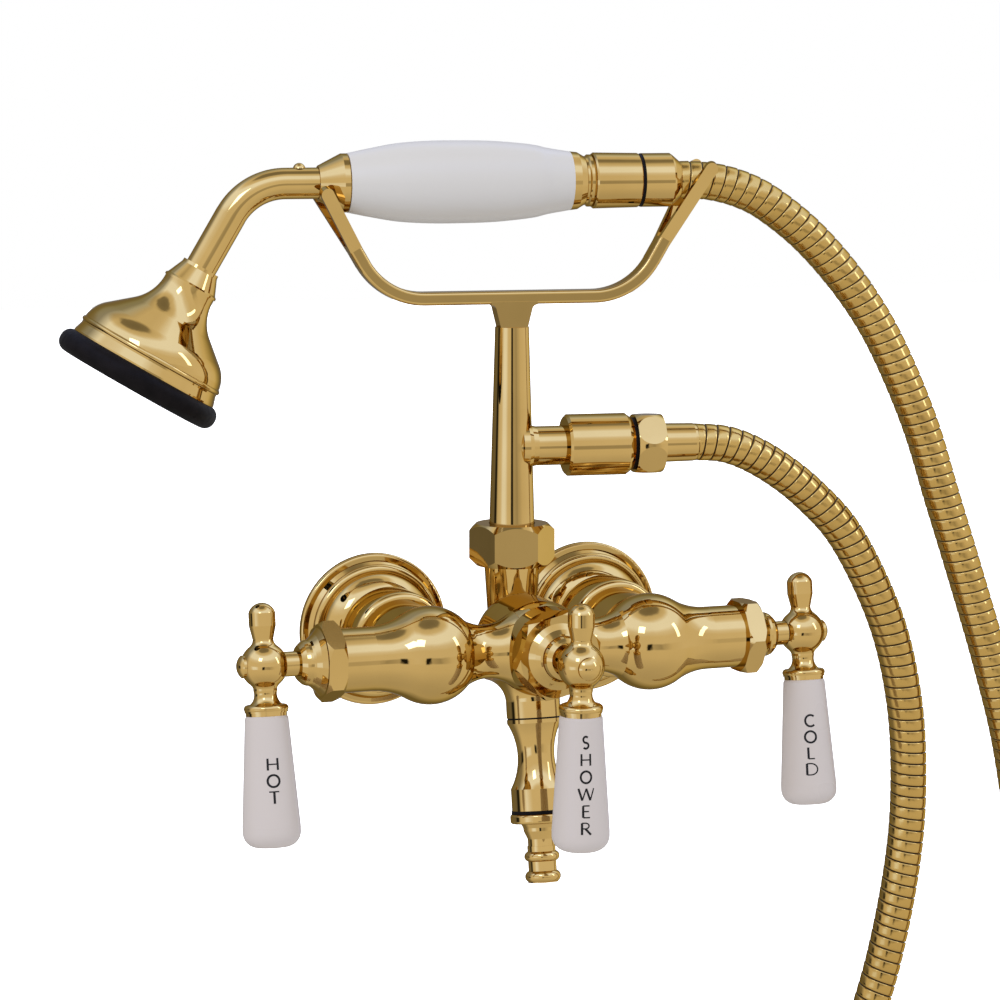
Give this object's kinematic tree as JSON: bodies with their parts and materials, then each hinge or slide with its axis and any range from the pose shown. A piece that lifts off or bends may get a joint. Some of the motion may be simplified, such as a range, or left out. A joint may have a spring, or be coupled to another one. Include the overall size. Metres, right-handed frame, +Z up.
{
  "type": "wall mounted bath faucet",
  "caption": "Wall mounted two-valve bath faucet with porcelain levers, a down-turned spout, a diverter, and a telephone hand shower on a forked cradle.",
  "frame": {"origin": "on the finished wall plane, midway between the two inlet centres", "axes": "+X toward the cold side (right of the front), +Y into the wall, +Z up; the front faces -Y"},
  "size_m": [0.3817, 0.1306, 0.6769],
  "materials": {
    "brass": "polished",
    "porcelain": "gloss",
    "rubber": "matt",
    "ceramic": "fine ground",
    "steel": "plain",
    "hose_brass": "polished interlocked bands"
  },
  "bodies": {
    "faucet": {"wall_flanges": "brass", "wall_couplings": "brass", "union_washers": "rubber", "union_collars": "brass", "body": "brass", "bonnets": "brass", "bonnet_gaskets": "rubber", "stem_seals": "rubber", "seat_discs": "ceramic", "seat_seals": "rubber", "diverter_bonnet": "brass", "diverter_gasket": "rubber", "diverter_seal": "rubber", "spout_gasket": "rubber", "spout": "brass", "nozzle_gasket": "rubber", "nozzle": "brass", "riser_nut": "brass", "riser_washer": "rubber", "riser": "brass", "cradle": "brass", "outlet_coupling": "brass", "outlet_seal": "rubber", "hose_nut": "brass", "hose_ferrule": "brass", "hose": "hose_brass"},
    "hot_valve": {"hot_spindle": "brass", "hot_disc": "ceramic", "hot_hub": "brass", "hot_lever": "porcelain", "hot_rod": "steel", "hot_cap": "brass"},
    "cold_valve": {"cold_spindle": "brass", "cold_disc": "ceramic", "cold_hub": "brass", "cold_lever": "porcelain", "cold_rod": "steel", "cold_cap": "brass"},
    "diverter": {"diverter_spindle": "brass", "diverter_plug": "ceramic", "shower_hub": "brass", "shower_lever": "porcelain", "shower_rod": "steel", "shower_cap": "brass"},
    "hand_shower": {"tail_nut": "brass", "tail_seal": "rubber", "tail_coupler": "brass", "end_ring": "brass", "grip_washers": "rubber", "grip": "porcelain", "core_tube": "brass", "grip_cone": "brass", "neck_screw": "brass", "neck_tube": "brass", "head_nut": "brass", "bell": "brass", "bell_band": "brass", "spray_plate": "brass", "rubber_ring": "rubber"}
  },
  "joints": [
    {"name": "hot_turn", "type": "hinge", "parent": "faucet", "child": "hot_valve", "pos_m": [-0.105, -0.064, 0], "axis": [-1, 0, 0], "range_deg": [0, 90]},
    {"name": "cold_turn", "type": "hinge", "parent": "faucet", "child": "cold_valve", "pos_m": [0.105, -0.064, 0], "axis": [-1, 0, 0], "range_deg": [0, 90]},
    {"name": "diverter_turn", "type": "hinge", "parent": "faucet", "child": "diverter", "pos_m": [0, -0.104, 0], "axis": [0, -1, 0], "range_deg": [0, 90]},
    {"name": "handset_lift", "type": "slide", "parent": "faucet", "child": "hand_shower", "axis": [0, 0, 1], "range_m": [0, 0.06]}
  ]
}
